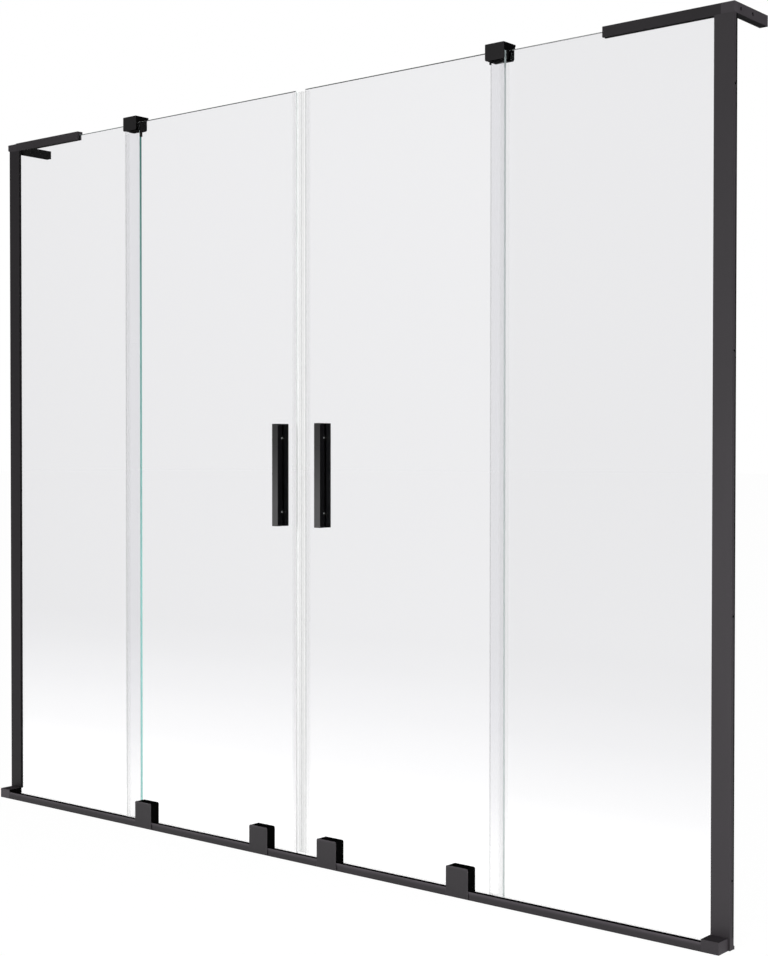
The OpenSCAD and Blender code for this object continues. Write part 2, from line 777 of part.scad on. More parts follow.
edge_seal(1);  // edge_seal_right
sweep_seal(-1);  // sweep_seal_left
sweep_seal(1);  // sweep_seal_right
wheel(-1, outer_axle_x(-1));  // wheel_left_outer
wheel(-1, inner_roller_x);  // wheel_left_inner
wheel(1, inner_roller_x);  // wheel_right_inner
wheel(1, outer_axle_x(1));  // wheel_right_outer
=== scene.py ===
import math
import bmesh
import bpy
from mathutils import Matrix, Vector


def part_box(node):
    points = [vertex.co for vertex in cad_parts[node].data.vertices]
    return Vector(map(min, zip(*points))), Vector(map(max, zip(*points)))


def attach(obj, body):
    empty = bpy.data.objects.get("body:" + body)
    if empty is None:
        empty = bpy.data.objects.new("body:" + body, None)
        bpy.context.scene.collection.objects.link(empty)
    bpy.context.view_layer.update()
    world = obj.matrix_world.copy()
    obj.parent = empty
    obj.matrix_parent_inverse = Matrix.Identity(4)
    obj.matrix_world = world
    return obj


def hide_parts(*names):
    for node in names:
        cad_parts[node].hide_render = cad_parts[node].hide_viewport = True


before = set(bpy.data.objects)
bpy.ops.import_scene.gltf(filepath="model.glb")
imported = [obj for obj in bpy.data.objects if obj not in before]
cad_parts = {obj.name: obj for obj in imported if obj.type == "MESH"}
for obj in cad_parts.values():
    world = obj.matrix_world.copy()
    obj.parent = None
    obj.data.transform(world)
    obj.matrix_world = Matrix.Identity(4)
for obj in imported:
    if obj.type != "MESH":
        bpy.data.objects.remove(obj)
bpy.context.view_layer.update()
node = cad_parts

# Rail, posts, bars and arms
# Aluminium extrusions, sawn to length, with a satin black powder coat of fine grain. Painted light makes
# the coat lighter low on the posts and along the rail's upper front, and painted shade makes it deep black
# on the track and in the gap behind the right wall channel.

MM = 0.001


def shader_of(material):
    """The node tree and its Principled shader."""
    material.use_nodes = True
    tree = material.node_tree
    return tree, next(n for n in tree.nodes if n.type == "BSDF_PRINCIPLED")


def noise(tree, scale, detail, stretch=(1, 1, 1)):
    """Noise in the object's own coordinates, stretched along its axes."""
    place = tree.nodes.new("ShaderNodeTexCoord")
    mapping = tree.nodes.new("ShaderNodeMapping")
    mapping.inputs["Scale"].default_value = stretch
    texture = tree.nodes.new("ShaderNodeTexNoise")
    texture.inputs["Scale"].default_value = scale
    texture.inputs["Detail"].default_value = detail
    tree.links.new(place.outputs["Object"], mapping.inputs["Vector"])
    tree.links.new(mapping.outputs["Vector"], texture.inputs["Vector"])
    return texture.outputs["Fac"]


def feed(tree, value, socket):
    """Links a value from another socket, or sets a number or colour."""
    if isinstance(value, bpy.types.NodeSocket):
        tree.links.new(value, socket)
    else:
        socket.default_value = value


def ramp(tree, factor, stops):
    """Colour along a factor, from stops of place and colour."""
    blend = tree.nodes.new("ShaderNodeValToRGB")
    marks = blend.color_ramp.elements
    while len(marks) < len(stops):
        marks.new(1)
    for mark, (place, colour) in zip(marks, stops):
        mark.position = place
        mark.color = (*colour, 1)
    tree.links.new(factor, blend.inputs["Fac"])
    return blend.outputs["Color"]


def level(tree, factor, low, high, start=0, end=1):
    """Number from low to high as the factor goes from start to end."""
    span = tree.nodes.new("ShaderNodeMapRange")
    span.inputs["From Min"].default_value = start
    span.inputs["From Max"].default_value = end
    span.inputs["To Min"].default_value = low
    span.inputs["To Max"].default_value = high
    tree.links.new(factor, span.inputs["Value"])
    return span.outputs["Result"]


def object_axis(tree, axis):
    """One axis of the object's coordinates."""
    place = tree.nodes.new("ShaderNodeTexCoord")
    split = tree.nodes.new("ShaderNodeSeparateXYZ")
    tree.links.new(place.outputs["Object"], split.inputs["Vector"])
    return split.outputs[axis]


def product(tree, first, second):
    """One colour multiplied by another."""
    mix = tree.nodes.new("ShaderNodeMix")
    mix.data_type = "RGBA"
    mix.blend_type = "MULTIPLY"
    mix.inputs["Factor"].default_value = 1
    feed(tree, first, mix.inputs[6])
    feed(tree, second, mix.inputs[7])
    return mix.outputs[2]


def painted_upward_light(tree, colour, foot, head, shades):
    """The colour with painted light and shade, darkened or lightened from the foot to the head."""
    most = max(shade for place, shade in shades)
    stops = [(place, (shade / most, shade / most, shade / most)) for place, shade in shades]
    shade = ramp(tree, level(tree, object_axis(tree, "Z"), 0, 1, foot, head), stops)
    return product(tree, product(tree, shade, colour), (most, most, most, 1))


def relief(tree, shader, height, depth, strength):
    """Fine relief of the given depth in metres."""
    bump = tree.nodes.new("ShaderNodeBump")
    bump.inputs["Distance"].default_value = depth
    bump.inputs["Strength"].default_value = strength
    tree.links.new(height, bump.inputs["Height"])
    tree.links.new(bump.outputs["Normal"], shader.inputs["Normal"])


def coat(name, dark, light, rough_low, rough_high, gloss, grain_scale=900, upward=None):
    """Finish with clouds in its colour and a fine grain, with painted light and shade upward where the
    foot, head and shades are given."""
    material = bpy.data.materials.new(name)
    tree, shader = shader_of(material)
    shader.inputs["Specular IOR Level"].default_value = gloss
    grain = noise(tree, grain_scale, 3)
    cloud = noise(tree, 9, 4, (1, 1, 0.3))
    colour = ramp(tree, cloud, [(0.3, dark), (0.7, light)])
    if upward:
        colour = painted_upward_light(tree, colour, *upward)
    tree.links.new(colour, shader.inputs["Base Color"])
    tree.links.new(level(tree, grain, rough_low, rough_high), shader.inputs["Roughness"])
    relief(tree, shader, grain, 0.12 * MM, 0.3)
    return material


def dress(names, materials, edge, segments=3, rule=None):
    """Gives CAD nodes their finishes, face by face where a rule says so, and rounded edges."""
    for name in names:
        piece = node[name]
        piece.data.materials.clear()
        for material in materials:
            piece.data.materials.append(material)
        for face in piece.data.polygons:
            face.material_index = rule(face.normal) if rule else 0
        weld = piece.modifiers.new("weld", "WELD")
        weld.merge_threshold = 0.02 * MM
        flat = piece.modifiers.new("flat", "DECIMATE")
        flat.decimate_type = "DISSOLVE"
        flat.angle_limit = math.radians(1)
        flat.delimit = {"MATERIAL"}
        rounding = piece.modifiers.new("rounding", "BEVEL")
        rounding.limit_method = "ANGLE"
        rounding.angle_limit = math.radians(35)
        rounding.width = edge
        rounding.segments = segments


def both(*names):
    """The left and the right node of each name."""
    return [f"{name}_{side}" for name in names for side in ("left", "right")]


# Lit and shaded copies of one coat: the lighter holds painted light on the left bar and the right arm, the
# darker holds painted shade on the right bar.
painted_light_bar_coat = coat("painted_light_bar_coat", (0.034, 0.030, 0.034), (0.042, 0.037, 0.042), 0.36, 0.5, 0.5)
painted_shade_bar_coat = coat("painted_shade_bar_coat", (0.016, 0.014, 0.016), (0.022, 0.019, 0.022), 0.36, 0.5, 0.4)
# Painted shade: the shaded coat darkens faces turned from the light, and the near black one stands for
# deep shade on the track, in gaps, on sides and on the left arm behind the glass.
shaded_coat = coat("shaded_black_coat", (0.0105, 0.0092, 0.0105), (0.013, 0.0115, 0.013), 0.4, 0.52, 0.3)
black_with_painted_shade = coat("black_with_painted_shade", (0.003, 0.003, 0.003), (0.005, 0.005, 0.005), 0.3, 0.4, 0, 1400)
post_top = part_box("side_post_right")[1][2]
# Painted light and shade: the left post's coat is a shade darker than the right's, and each is painted
# lighter and darker at different heights as the light falls on it.
left_post_painted_light = [(0, 0.3), (0.03, 0.55), (0.12, 1), (0.3, 1.22), (0.5, 1.14), (0.7, 0.92), (1, 0.85)]
left_post_coat = coat("left_post_coat", (0.022, 0.019, 0.022), (0.028, 0.0245, 0.028), 0.38, 0.52, 0.35,
                      upward=(0, post_top, left_post_painted_light))
right_post_painted_light = [(0, 1.1), (0.06, 1.45), (0.3, 1.5), (0.55, 1.25), (0.8, 1), (1, 0.95)]
right_post_coat = coat("right_post_coat", (0.028, 0.0245, 0.028), (0.036, 0.0315, 0.036), 0.36, 0.5, 0.5,
                       upward=(0, post_top, right_post_painted_light))
rail_low, rail_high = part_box("bottom_rail")
# Painted highlight: the rail's coat grows lighter up its front, to three and a half times at the upper
# edge.
rail_painted_highlight = [(0, 0.6), (0.2, 1.05), (0.5, 1), (0.65, 1.4), (0.78, 2.3), (0.88, 3.4), (1, 3.4)]
rail_coat = coat("rail_coat", (0.027, 0.0235, 0.027), (0.034, 0.0295, 0.034), 0.36, 0.5, 0.5,
                 upward=(0, rail_high[2], rail_painted_highlight))
# Painted shadow: the right wall channel, in the lighter coat, turns near black towards its back where the
# gap beside the post lies in shade, and the post's flange tips there are painted shade black.
gap_front = 34 * MM
gap_fade = 0.4 * MM
flange_front = gap_front + 2 * MM
channel_coat = coat("right_channel_coat", (0.034, 0.030, 0.034), (0.042, 0.037, 0.042), 0.36, 0.5, 0.3)
tree, shader = shader_of(channel_coat)
into_gap = level(tree, object_axis(tree, "Y"), 0, 1, gap_front, gap_front + gap_fade)
gap_shade = ramp(tree, into_gap, [(0, (1, 1, 1)), (1, (0.05, 0.05, 0.05))])
coat_colour = shader.inputs["Base Color"].links[0].from_socket
tree.links.new(product(tree, coat_colour, gap_shade), shader.inputs["Base Color"])

extrusion_edge = 0.5 * MM
channel_edge = 0.2 * MM
# The rail's top faces, the track, are painted shade black.
dress(["bottom_rail"], [rail_coat, black_with_painted_shade], 0.4 * MM, 3, lambda normal: int(normal.z > 0.5))
# The left post's face towards +X is painted shade.
dress(["side_post_left"], [left_post_coat, shaded_coat], extrusion_edge, 3,
      lambda normal: int(normal.x > 0.5))
dress(["side_post_right"], [right_post_coat, black_with_painted_shade], extrusion_edge)
# The post's flange tips beside the gap are painted shadow.
for face in node["side_post_right"].data.polygons:
    face.material_index = int(face.normal.x > 0.5 and face.center.y > flange_front)
dress(["top_bar_left"], [painted_light_bar_coat], extrusion_edge)
dress(["top_bar_right"], [painted_shade_bar_coat], extrusion_edge)
# The right arm's underside is painted shade.
dress(["wall_arm_right"], [painted_light_bar_coat, shaded_coat], extrusion_edge, 3,
      lambda normal: int(normal.z < -0.5))
# The left arm, behind the glass, is painted shade black all over.
dress(["wall_arm_left"], [black_with_painted_shade], extrusion_edge)
# The left wall channel is painted shade.
dress(["wall_channel_left"], [shaded_coat], channel_edge, 1)
dress(["wall_channel_right"], [channel_coat], channel_edge, 1)

# End blocks and corner pieces
# Moulded in black nylon with a fine spark finish, plugged into the rail, the bars and the arms.
# The left end block has painted light on its front and painted shade, nearly black, on the side that meets
# the rail.

block_nylon = coat("black_nylon", (0.041, 0.036, 0.041), (0.049, 0.043, 0.049), 0.42, 0.6, 0.5, 1400)
# Painted light: a copy of the nylon over twice as light, for the left end block's front.
painted_light_nylon = coat("black_nylon_painted_light", (0.1, 0.09, 0.1), (0.115, 0.103, 0.115), 0.42, 0.6, 0.5, 1400)
moulded_edge = 0.6 * MM
dress(["end_block_left"], [painted_light_nylon, black_with_painted_shade], moulded_edge, 3, lambda normal: int(normal.x > 0.3))
dress(["end_block_right"] + both("corner_piece"), [block_nylon], moulded_edge)

# Guide blocks
# Moulded in a deeper black and clamped on the fixed panes. Each has a soft lining for the door
# and a clip on the pane's edge.

guide_nylon = coat("guide_nylon", (0.009, 0.008, 0.009), (0.013, 0.012, 0.013), 0.4, 0.55, 0.35, 1400)
soft_black = coat("soft_black", (0.004, 0.004, 0.004), (0.008, 0.008, 0.008), 0.7, 0.9, 0.1, 2200)
# The guide blocks' sides are painted shade black.
dress(both("guide_block"), [guide_nylon, black_with_painted_shade], 0.5 * MM, 3, lambda normal: int(abs(normal.y) < 0.5))
dress(["guide_clips", "guide_liners"], [soft_black], 0.2 * MM, 1)

# Gaskets, pads and washers
# Black rubber between glass and metal, with a dull skin. The gaskets run along the posts, the pads
# sit inside the roller housings and the washers between handle bars and doors.

dress(both("glass_gasket", "roller_pads", "handle_washers"), [soft_black], 0.2 * MM, 1)

# Roller housings
# A satin front plate with rounded upper corners, on a black moulded body. The plate has a painted
# highlight along its top and on its rounded edges, and the body is darkened further with painted shade on
# its sides and top. The body straddles the rail, holds the wheel in a pocket, and has a fine parting
# groove round it.


def slab(bm, low, high):
    """Block between two corners."""
    verts = bmesh.ops.create_cube(bm, size=1)["verts"]
    bmesh.ops.scale(bm, vec=Vector(high) - Vector(low), verts=verts)
    bmesh.ops.translate(bm, vec=(Vector(low) + Vector(high)) / 2, verts=verts)


def prism(bm, outline, place, reach, radius=0):
    """Outline of two coordinates, with rounded corners, extruded along a vector."""
    face = bm.faces.new([bm.verts.new(place(u, v)) for u, v in outline])
    if radius:
        bmesh.ops.bevel(bm, geom=list(face.verts), offset=radius, offset_type="OFFSET", segments=3,
                        profile=0.5, affect="VERTICES", material=-1, clamp_overlap=True)
    made = bmesh.ops.extrude_face_region(bm, geom=list(bm.faces))["geom"]
    bmesh.ops.translate(bm, vec=reach, verts=[v for v in made if isinstance(v, bmesh.types.BMVert)])


def rounded(bm, edges, width, segments):
    """Rounds the given edges and returns the new faces."""
    return bmesh.ops.bevel(bm, geom=edges, offset=width, offset_type="OFFSET", segments=segments,
                           profile=0.5, affect="EDGES", material=-1, clamp_overlap=True)["faces"]


def near(value, target):
    """True where two lengths agree to a hundredth of a millimetre."""
    return abs(value - target) < 0.01 * MM


def upper_corners(bm, top):
    """The edges that run from front to back along the top."""
    return [e for e in bm.edges if all(near(v.co.z, top) for v in e.verts)
            and near(e.verts[0].co.x, e.verts[1].co.x)]


def add_piece(name, bm, materials, body, replaced=()):
    """Turns mesh code into a piece that rides on a body."""
    bmesh.ops.recalc_face_normals(bm, faces=bm.faces)
    mesh = bpy.data.meshes.new(name)
    bm.to_mesh(mesh)
    bm.free()
    for material in materials:
        mesh.materials.append(material)
    piece = bpy.data.objects.new(name, mesh)
    bpy.context.scene.collection.objects.link(piece)
    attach(piece, body)
    if replaced:
        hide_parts(*replaced)


rail_gap = 0.5 * MM
corner_radius = 3.5 * MM
corner_steps = 8
arris = 0.6 * MM
sharp = math.radians(35)
inset = 0.35 * MM
skirt_lift = 3 * MM
wheel_room = 1.6 * MM
side_room = 0.5 * MM
groove_set_back = 3 * MM
groove_draft = 0.02 * MM
plate_low, plate_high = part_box("roller_housing_left_outer")
# Painted highlight: the plate's coat lightens over its top few millimetres, and its rounded edges take a
# lighter coat.
plate_painted_highlight = [(0, 0.9), (0.9, 1), (0.95, 1.3), (0.975, 2.3), (1, 2.3)]
plate_coat = coat("plate_black_coat", (0.034, 0.030, 0.034), (0.042, 0.037, 0.042), 0.36, 0.5, 0.5,
                  upward=(plate_low[2], plate_high[2], plate_painted_highlight))
painted_highlight_coat = coat("painted_highlight_black_coat", (0.075, 0.068, 0.075), (0.09, 0.082, 0.09), 0.34, 0.46, 0.5)
for housing in [name for name in node if name.startswith("roller_housing")]:
    low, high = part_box(housing)
    middle = (low[0] + high[0]) / 2
    plate_back = rail_low[1] - rail_gap
    body = "door_left" if "_left_" in housing else "door_right"
    bm = bmesh.new()
    slab(bm, low, (high[0], plate_back, high[2]))
    rounded(bm, upper_corners(bm, high[2]), corner_radius, corner_steps)
    for face in rounded(bm, [e for e in bm.edges if e.calc_face_angle() > sharp], arris, 3):
        face.material_index = 1
    plate_name = housing.replace("housing", "plate")
    add_piece(plate_name, bm, [plate_coat, painted_highlight_coat], body, [housing])

    left, right, top = low[0] + inset, high[0] - inset, high[2] - inset
    ceiling = rail_high[2] + 1 * MM
    skirt = low[2] + skirt_lift
    slot_back = rail_high[1] + rail_gap
    bm = bmesh.new()
    prism(bm, [(plate_back, ceiling), (slot_back, ceiling), (slot_back, skirt), (high[1], skirt),
               (high[1], top), (plate_back, top)],
          lambda u, v: (left, u, v), (right - left, 0, 0))
    rounded(bm, upper_corners(bm, top), corner_radius, corner_steps)
    wheel_low, wheel_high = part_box(housing.replace("roller_housing", "wheel"))
    pocket = (wheel_high[0] - wheel_low[0]) / 2 + wheel_room
    side = wheel_high[1] + side_room
    for spot, along in (((middle - pocket, 0, 0), (1, 0, 0)), ((middle + pocket, 0, 0), (1, 0, 0)),
                        ((0, -side, 0), (0, 1, 0)), ((0, side, 0), (0, 1, 0))):
        roof = [f for f in bm.faces if all(near(v.co.z, ceiling) for v in f.verts)]
        parts = set(roof) | {e for f in roof for e in f.edges} | {v for f in roof for v in f.verts}
        bmesh.ops.bisect_plane(bm, geom=list(parts), plane_co=spot, plane_no=along)
    mouth = [f for f in bm.faces if all(near(v.co.z, ceiling) and abs(v.co.x - middle) < pocket + inset
                                        and abs(v.co.y) < side + inset for v in f.verts)]
    raised = bmesh.ops.extrude_face_region(bm, geom=mouth)["geom"]
    bmesh.ops.translate(bm, vec=(0, 0, wheel_high[2] + wheel_room - ceiling),
                        verts=[v for v in raised if isinstance(v, bmesh.types.BMVert)])
    bmesh.ops.delete(bm, geom=[f for f in mouth if f.is_valid], context="FACES_ONLY")
    groove = slot_back + groove_set_back
    for cut in (groove, groove + inset):
        bmesh.ops.bisect_plane(bm, geom=list(bm.verts) + list(bm.edges) + list(bm.faces),
                               plane_co=(0, cut, 0), plane_no=(0, 1, 0))
    band = [f for f in bm.faces if groove < f.calc_center_median().y < groove + inset]
    bmesh.ops.recalc_face_normals(bm, faces=bm.faces)
    bmesh.ops.inset_region(bm, faces=band, thickness=groove_draft, depth=-inset)
    # The body's near black holds painted shade on its sides and top.
    add_piece(housing.replace("housing", "body"), bm, [black_with_painted_shade], body, [housing])

dress(both("roller_bolts"), [guide_nylon], 0.8 * MM)

# Handles
# Square bars in front of and behind each door, with faces of a smooth coat that a painted reflection
# lightens downward, and sides of painted shade. A small zinc-plated grub screw on each front bar's side
# locks it on its bolt.

grip_low, grip_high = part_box("handle_front_left")
# Painted reflection: the bars' faces lighten downward; their sides are painted shade.
grip_painted_reflection = [(0, 2.7), (0.22, 2.7), (0.35, 2.3), (0.6, 1.2), (0.8, 0.5), (1, 0.2)]
handle_coat = coat("handle_coat", (0.034, 0.0335, 0.034), (0.038, 0.0375, 0.038), 0.16, 0.22, 0.6, 1100,
                   (grip_low[2], grip_high[2], grip_painted_reflection))
painted_side_shade = coat("painted_side_shade", (0.008, 0.008, 0.0088), (0.011, 0.011, 0.012), 0.3, 0.4, 0, 1400)
dress(both("handle_front"), [handle_coat, painted_side_shade], 0.4 * MM, 3, lambda normal: int(normal.y > -0.5))
dress(both("handle_back"), [handle_coat, painted_side_shade], 0.4 * MM, 3, lambda normal: int(normal.y < 0.5))
zinc = coat("zinc_plate", (0.6, 0.61, 0.62), (0.75, 0.76, 0.77), 0.3, 0.42, 0.8, 1600)


def streaked(name, scale, stretch, dark, light, rough_low, rough_high):
    """Finish with fine streaks in its colour and dullness, with its tree, shader and streaks."""
    material = bpy.data.materials.new(name)
    tree, shader = shader_of(material)
    streaks = noise(tree, scale, 3, stretch)
    tree.links.new(ramp(tree, streaks, [(0.3, dark), (0.7, light)]), shader.inputs["Base Color"])
    tree.links.new(level(tree, streaks, rough_low, rough_high), shader.inputs["Roughness"])
    return material, tree, shader, streaks


steel, tree, shader, streaks = streaked("brushed_steel", 700, (1, 0.08, 1), (0.5, 0.5, 0.51),
                                        (0.64, 0.64, 0.65), 0.22, 0.4)
shader.inputs["Metallic"].default_value = 1
relief(tree, shader, streaks, 0.05 * MM, 0.3)


def socket_screw(bm, end, axis, radius, length):
    """Screw with a rounded rim and a hexagon socket, whose end looks along the axis."""
    turned = Vector((0, 0, 1)).rotation_difference(Vector(axis)).to_matrix().to_4x4()
    loops = []
    for sides, reach, depth in ((24, radius, length), (24, radius, radius * 0.12), (24, radius * 0.88, 0),
                                (6, radius * 0.55, 0), (6, radius * 0.55, min(length * 0.6, radius))):
        spot = Matrix.Translation(end) @ turned @ Matrix.Translation((0, 0, -depth))
        verts = bmesh.ops.create_circle(bm, segments=sides, radius=reach, matrix=spot)["verts"]
        loops.append(list({edge for vert in verts for edge in vert.link_edges}))
    for first, second in zip(loops, loops[1:]):
        bmesh.ops.bridge_loops(bm, edges=first + second)
    bmesh.ops.holes_fill(bm, edges=loops[0] + loops[-1])


def solids_of(name):
    """The lowest and highest corner of each separate solid of a CAD node."""
    bm = bmesh.new()
    bm.from_mesh(node[name].data)
    bmesh.ops.remove_doubles(bm, verts=bm.verts, dist=0.01 * MM)
    boxes = []
    left = set(bm.verts)
    while left:
        front = [left.pop()]
        group = list(front)
        while front:
            found = {v for edge in front.pop().link_edges for v in edge.verts} & left
            left -= found
            front += found
            group += found
        boxes.append([Vector([pick(v.co[i] for v in group) for i in range(3)]) for pick in (min, max)])
    bm.free()
    return boxes


grub_radius = 1.5 * MM
grub_length = 1 * MM
grub_proud = 0.1 * MM
grub_set_back = 1.6 * MM
for side, body in (("left", "door_left"), ("right", "door_right")):
    bar_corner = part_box(f"handle_front_{side}")[1]
    bm = bmesh.new()
    for low, high in solids_of(f"handle_bolts_{side}"):
        socket_screw(bm, (bar_corner[0] + grub_proud, bar_corner[1] - grub_set_back, (low.z + high.z) / 2),
                     (1, 0, 0), grub_radius, grub_length)
    add_piece(f"handle_grub_screws_{side}", bm, [zinc], body)

# Panes
# Toughened clear glass of 6 mm with polished edges. The tint is painted lighter towards the foot, and the
# upper edge shows as a painted dark line. The left fixed pane's bare edge is teal, with painted light that
# makes it deep at the top and bright at the foot, between arrises with painted highlights; the bare edges
# have a painted glow.

# Painted shade: the near black of the panes' upper edge line and top faces.
edge_black = (0.01, 0.012, 0.012)


def clear_glass(name, top, tint):
    """Glass with a faint grey tint painted lighter towards the foot, and a painted dark line along its
    upper edge.
    """
    material = bpy.data.materials.new(name)
    tree, shader = shader_of(material)
    shader.inputs["Transmission Weight"].default_value = 1
    shader.inputs["Roughness"].default_value = 0
    shader.inputs["IOR"].default_value = 1.5
    shader.inputs["Specular IOR Level"].default_value = 0.3
    height = object_axis(tree, "Z")
    grey = (tint, tint, tint + 0.015)
    pane = ramp(tree, level(tree, height, 0, 1, 0, top), [(0, (1, 1, 1)), (0.2, grey)])
    into_line = level(tree, height, 0, 1, top - 1.1 * MM, top - 0.9 * MM)
    line = ramp(tree, into_line, [(0, (1, 1, 1)), (1, edge_black)])
    tree.links.new(product(tree, pane, line), shader.inputs["Base Color"])
    return material


def glass_edge(name, colours, opacity, painted_glow=0):
    """Polished edge with its colours from the foot to the top, and a painted glow for the light a pane
    gathers.
    """
    material = bpy.data.materials.new(name)
    tree, shader = shader_of(material)
    shader.inputs["Alpha"].default_value = opacity
    height = level(tree, object_axis(tree, "Z"), 0, 1, 0, 1.5)
    streaks = noise(tree, 60, 3, (1, 1, 0.2))
    tree.links.new(level(tree, streaks, 0.2, 0.35), shader.inputs["Roughness"])
    stops = [(i / (len(colours) - 1), colour) for i, colour in enumerate(colours)]
    colour = ramp(tree, height, stops)
    tree.links.new(colour, shader.inputs["Base Color"])
    tree.links.new(colour, shader.inputs["Emission Color"])
    shader.inputs["Emission Strength"].default_value = painted_glow
    return material


# Painted light: the teal edge is bright at the foot and deep at the top, the white, teal and grey edges
# glow a little, the arrises carry painted highlights, and the whites and greys differ by pane with the
# light.
teal_colours = [(0.5, 1, 0.93), (0.42, 0.9, 0.83), (0.26, 0.56, 0.51), (0.05, 0.17, 0.15)]
teal_edge = glass_edge("teal_edge", teal_colours, 1, 0.12)
white_edge = glass_edge("white_edge", [(1, 1, 1), (0.96, 1, 0.99)], 1, 0.3)
light_arris = glass_edge("light_arris", [(0.9, 1, 0.98), (0.6, 0.8, 0.77)], 0.8)
grey_edge = glass_edge("grey_edge", [(0.8, 0.92, 0.9), (0.55, 0.64, 0.64)], 0.7, 0.1)
pale_edge = glass_edge("pale_edge", [(0.88, 0.96, 0.95), (0.7, 0.76, 0.76)], 0.25)
dark_edge = glass_edge("dark_edge", [edge_black, edge_black], 1)


def pane_face(normal):
    """Clear on both faces, painted shade dark on top, the bare edge's finish towards +X and pale
    elsewhere.
    """
    if abs(normal.y) > 0.5:
        return 0
    if normal.z > 0.5:
        return 4
    return 2 if normal.x > 0.5 else 3


for name, tint, arris_finish, bare in (("fixed_glass_left", 0.985, light_arris, teal_edge),
                                       ("door_glass_left", 0.982, white_edge, white_edge),
                                       ("door_glass_right", 0.982, pale_edge, grey_edge),
                                       ("fixed_glass_right", 0.935, pale_edge, pale_edge)):
    glass = clear_glass(f"clear_{name}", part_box(name)[1][2], tint)
    dress([name], [glass, arris_finish, bare, pale_edge, dark_edge], 0.4 * MM, 1, pane_face)
    node[name].modifiers["rounding"].material = 1

# Seals
# Clear soft vinyl, extruded with thin lips. They grip the doors' upright edges, hang under the
# doors as wipers, and seat the fixed panes on the bath's rim.

vinyl, tree, shader, streaks = streaked("clear_vinyl", 300, (1, 1, 0.05), (0.86, 0.88, 0.88),
                                        (0.95, 0.97, 0.97), 0.15, 0.3)
shader.inputs["Alpha"].default_value = 0.05
relief(tree, shader, streaks, 0.1 * MM, 0.2)


def upright_seal(name, side, body, points):
    """Upright seal whose outline is given on the right, in millimetres."""
    low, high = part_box(f"{name}_{side}")
    sign = -1 if side == "left" else 1
    bm = bmesh.new()
    prism(bm, points, lambda u, v: (sign * u * MM, v * MM, low[2]), (0, 0, high[2] - low[2]), 0.4 * MM)
    add_piece(f"clear_{name}_{side}", bm, [vinyl], body, [f"{name}_{side}"])


def level_seal(name, body, points):
    """Level seal along the rail, whose outline of depth and height is given in millimetres."""
    low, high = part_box(name)
    bm = bmesh.new()
    prism(bm, points, lambda u, v: (low[0], u * MM, v * MM), (high[0] - low[0], 0, 0), 0.3 * MM)
    add_piece(f"clear_{name}", bm, [vinyl], body, [name])


def span(name):
    """The lowest and highest corner of a CAD node in millimetres."""
    low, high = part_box(name)
    return [v / MM for v in low], [v / MM for v in high]


skin = 0.06
for side, body in (("left", "door_left"), ("right", "door_right")):
    low, high = span(f"door_glass_{side}")
    front, back, foot = low[1] - skin, high[1] + skin, low[2] - skin
    inner, outer = sorted(abs(x) for x in (low[0], high[0]))
    tip = max(abs(corner[0]) for corner in span(f"edge_seal_{side}"))
    grip = 10
    wall = 1.1
    upright_seal("meeting_seal", side, body,
                 [(inner + grip, front), (inner - skin, front), (inner - skin, back), (inner + grip, back),
                  (inner + grip, back + wall * 0.5), (inner - 0.9, back + wall), (inner - 1, back - 0.6),
                  (0.2, back - 0.6), (0.2, front + 0.6), (inner - 1, front + 0.6),
                  (inner - 0.9, front - wall), (inner + grip, front - wall * 0.5)])
    upright_seal("edge_seal", side, body,
                 [(outer - grip, front), (outer + skin, front), (outer + skin, back), (outer - grip, back),
                  (outer - grip, back + wall * 0.5), (outer + 0.4, back + wall), (tip, back - 0.1),
                  (tip, front + 0.1), (outer + 0.4, front - wall), (outer - grip, front - wall * 0.5)])
    low, high = span(f"sweep_seal_{side}")
    middle = (low[1] + high[1]) / 2
    level_seal(f"sweep_seal_{side}", body,
               [(front, high[2]), (front, foot), (back, foot), (back, high[2]), (high[1] - 0.4, high[2]),
                (high[1], foot - 1), (middle + 0.8, foot - 1.1), (middle + 0.3, low[2]),
                (middle - 0.5, low[2]), (middle - 0.8, foot - 1.1), (low[1], foot - 1),
                (low[1] + 0.4, high[2])])
    low, high = span(f"fixed_glass_{side}")
    front, back, foot = low[1] - skin, high[1] + skin, low[2] - skin
    low, high = span(f"fixed_seal_{side}")
    level_seal(f"fixed_seal_{side}", "frame",
               [(front, high[2]), (front, foot), (back, foot), (back, high[2]), (high[1] - 0.4, high[2]),
                (high[1], low[2]), (low[1], low[2]), (low[1] + 0.4, high[2])])

# Magnets
# Flexible strips in a milky clear sleeve inside the meeting seals. They hold the two doors
# together when these are closed.

milky, tree, shader, streaks = streaked("milky_strip", 200, (1, 1, 0.1), (0.9, 0.92, 0.92),
                                        (1, 1, 1), 0.4, 0.55)
shader.inputs["Alpha"].default_value = 0.15
dress(both("magnet"), [milky], 0.4 * MM, 2)

# Fixings
# Stainless grub screws with hexagon sockets clamp the bars and guide blocks on the glass, and
# countersunk ones lock the posts on their wall channels. The wheels are pale nylon on steel axles.

hole_play = 0.05 * MM
head_height = 1.5 * MM
for name in ("bar_screws", "guide_screws", "post_screws"):
    bm = bmesh.new()
    for low, high in solids_of(name):
        middle = (low + high) / 2
        radius = min(high.x - low.x, high.z - low.z) / 2 - hole_play
        length = head_height if name == "post_screws" else high.y - low.y
        socket_screw(bm, (middle.x, high.y, middle.z), (0, 1, 0), radius, length)
    add_piece(f"socket_{name}", bm, [steel], "frame", [name])
dress(both("handle_bolts", "axles"), [steel], 0.2 * MM, 1)

pale_nylon = coat("pale_nylon", (0.72, 0.73, 0.72), (0.8, 0.81, 0.8), 0.3, 0.45, 0.5, 1100)
dress([name for name in node if name.startswith("wheel_")], [pale_nylon], 0.5 * MM)

# Floor
# Plain white floor whose faint shadow lies under the screen. Seen through the glass it is white
# close by and a light grey further off.


